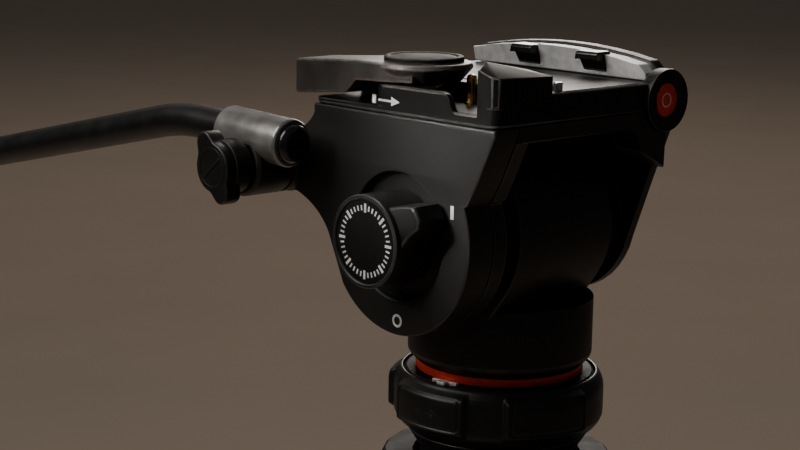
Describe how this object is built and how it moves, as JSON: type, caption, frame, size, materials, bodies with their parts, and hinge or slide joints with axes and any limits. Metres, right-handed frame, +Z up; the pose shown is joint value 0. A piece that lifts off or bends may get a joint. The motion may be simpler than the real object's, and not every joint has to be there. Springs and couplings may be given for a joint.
{
  "type": "tripod with fluid head",
  "caption": "Camera tripod with a fluid video head: pan base, tilting plate clamp, counterbalance knob, pan bar, levelling collar and telescopic legs.",
  "frame": {"origin": "on the floor under the pan axis", "axes": "+Z up; -Y is the front of the head, where the lens points; -X is the operator side with the counterbalance knob and the pan bar"},
  "size_m": [0.6582, 0.7568, 0.8599],
  "materials": {
    "casting": "fine textured black powder coat, satin bevelled edges",
    "plastic": "moulded black, fine grain",
    "lever": "warm dark grey satin",
    "satin": "satin black anodised",
    "red": "satin red anodised",
    "jaw": "fine cast grain, light grey",
    "steel": "turned",
    "brass": "turned",
    "rubber": "matte black",
    "vial": "clear with green fluid",
    "print": "white print"
  },
  "bodies": {
    "crown": {"crown": "casting", "hinge_pin_1": "steel", "hinge_pin_2": "steel", "hinge_pin_3": "steel"},
    "liner": {"cup_liner": "plastic"},
    "base": {"levelling_ball": "satin", "levelling_plate": "satin", "head_screw": "steel", "tie_rod": "steel", "tie_cup": "satin", "base_disc": "satin", "base_ring": "red", "pan_spindle": "steel"},
    "collar": {"levelling_collar": "plastic"},
    "pan": {"pan_housing": "casting", "pan_bearing": "steel", "drag_cartridge": "steel", "bubble_level": "vial"},
    "pan_knob": {"pan_lock_knob": "plastic"},
    "cradle": {"side_cover": "casting", "tilt_frame": "casting", "tilt_axle": "steel", "counterbalance_spring": "steel", "platform": "casting", "barrel_disc": "red", "far_jaw": "jaw", "jaw_tab_front": "plastic", "jaw_tab_rear": "plastic", "lever_pivot": "brass"},
    "balance_knob": {"counterbalance_knob": "plastic", "counterbalance_cap": "plastic"},
    "plate_lever": {"lock_lever": "lever", "lever_disc": "lever"},
    "plate_pin": {"safety_pin": "brass"},
    "bar": {"clamp_bracket": "satin", "sleeve_cap": "plastic", "pan_bar": "satin", "bar_grip": "rubber"},
    "bar_knob": {"clamp_knob": "plastic", "clamp_screw": "steel"},
    "tilt_knob": {"tilt_lock_lever": "plastic"},
    "leg_1": {"leg_socket_1": "casting", "upper_tube_1": "satin", "leg_lock_1": "plastic"},
    "leg_lever_1": {"lock_lever_1": "plastic"},
    "leg_end_1": {"lower_tube_1": "satin", "foot_1": "rubber"},
    "leg_2": {"leg_socket_2": "casting", "upper_tube_2": "satin", "leg_lock_2": "plastic"},
    "leg_lever_2": {"lock_lever_2": "plastic"},
    "leg_end_2": {"lower_tube_2": "satin", "foot_2": "rubber"},
    "leg_3": {"leg_socket_3": "casting", "upper_tube_3": "satin", "leg_lock_3": "plastic"},
    "leg_lever_3": {"lock_lever_3": "plastic"},
    "leg_end_3": {"lower_tube_3": "satin", "foot_3": "rubber"}
  },
  "joints": [
    {"name": "level_side", "type": "hinge", "parent": "crown", "child": "liner", "pos_m": [0, 0, 0.71767], "axis": [0, 1, 0], "range_deg": [-8, 8]},
    {"name": "level_fore", "type": "hinge", "parent": "liner", "child": "base", "pos_m": [0, 0, 0.71767], "axis": [1, 0, 0], "range_deg": [-8, 8]},
    {"name": "collar_turn", "type": "hinge", "parent": "base", "child": "collar", "pos_m": [0, 0, 0.73167], "axis": [0, 0, 1], "range_deg": [-60, 60]},
    {"name": "pan_turn", "type": "hinge", "parent": "base", "child": "pan", "pos_m": [0, 0, 0.74767], "axis": [0, 0, 1], "continuous": true},
    {"name": "pan_lock", "type": "hinge", "parent": "pan", "child": "pan_knob", "pos_m": [0.02779, 0.02592, 0.75867], "axis": [0.7314, 0.682, 0], "range_deg": [-90, 90]},
    {"name": "tilt", "type": "hinge", "parent": "pan", "child": "cradle", "pos_m": [0, 0, 0.79847], "axis": [1, 0, 0], "range_deg": [-70, 90]},
    {"name": "balance_turn", "type": "hinge", "parent": "cradle", "child": "balance_knob", "pos_m": [-0.06, 0, 0.79847], "axis": [1, 0, 0], "range_deg": [0, 115]},
    {"name": "plate_lever_swing", "type": "hinge", "parent": "cradle", "child": "plate_lever", "pos_m": [-0.037, 0.0035, 0.84767], "axis": [0, 0, 1], "range_deg": [0, 90]},
    {"name": "plate_pin_press", "type": "slide", "parent": "cradle", "child": "plate_pin", "axis": [0, 0, 1], "range_m": [-0.003, 0], "stiffness_N_per_m": 400, "springref_m": 0.002},
    {"name": "bar_angle", "type": "hinge", "parent": "cradle", "child": "bar", "pos_m": [-0.065, 0.0576, 0.81727], "axis": [1, 0, 0], "range_deg": [-10, 60]},
    {"name": "bar_clamp", "type": "hinge", "parent": "bar", "child": "bar_knob", "pos_m": [-0.08, 0.0576, 0.81727], "axis": [1, 0, 0], "continuous": true},
    {"name": "tilt_lock", "type": "hinge", "parent": "cradle", "child": "tilt_knob", "pos_m": [0.041, 0, 0.79847], "axis": [1, 0, 0], "range_deg": [-60, 60]},
    {"name": "leg_1_spread", "type": "hinge", "parent": "crown", "child": "leg_1", "pos_m": [0, -0.05, 0.68367], "axis": [1, 0, 0], "range_deg": [0, 25]},
    {"name": "leg_1_extend", "type": "slide", "parent": "leg_1", "child": "leg_end_1", "axis": [0, -0.4226, -0.9063], "range_m": [-0.28, 0.02]},
    {"name": "leg_1_lock", "type": "hinge", "parent": "leg_1", "child": "leg_lever_1", "pos_m": [0.0015, -0.23681, 0.33605], "axis": [0, -0.4226, -0.9063], "range_deg": [0, 100]},
    {"name": "leg_2_spread", "type": "hinge", "parent": "crown", "child": "leg_2", "pos_m": [0.0433, 0.025, 0.68367], "axis": [-0.5, 0.866, 0], "range_deg": [0, 25]},
    {"name": "leg_2_extend", "type": "slide", "parent": "leg_2", "child": "leg_end_2", "axis": [0.366, 0.2113, -0.9063], "range_m": [-0.28, 0.02]},
    {"name": "leg_2_lock", "type": "hinge", "parent": "leg_2", "child": "leg_lever_2", "pos_m": [0.20434, 0.11971, 0.33605], "axis": [0.366, 0.2113, -0.9063], "range_deg": [0, 100]},
    {"name": "leg_3_spread", "type": "hinge", "parent": "crown", "child": "leg_3", "pos_m": [-0.0433, 0.025, 0.68367], "axis": [-0.5, -0.866, 0], "range_deg": [0, 25]},
    {"name": "leg_3_extend", "type": "slide", "parent": "leg_3", "child": "leg_end_3", "axis": [-0.366, 0.2113, -0.9063], "range_m": [-0.28, 0.02]},
    {"name": "leg_3_lock", "type": "hinge", "parent": "leg_3", "child": "leg_lever_3", "pos_m": [-0.20584, 0.11711, 0.33605], "axis": [-0.366, 0.2113, -0.9063], "range_deg": [0, 100]}
  ]
}
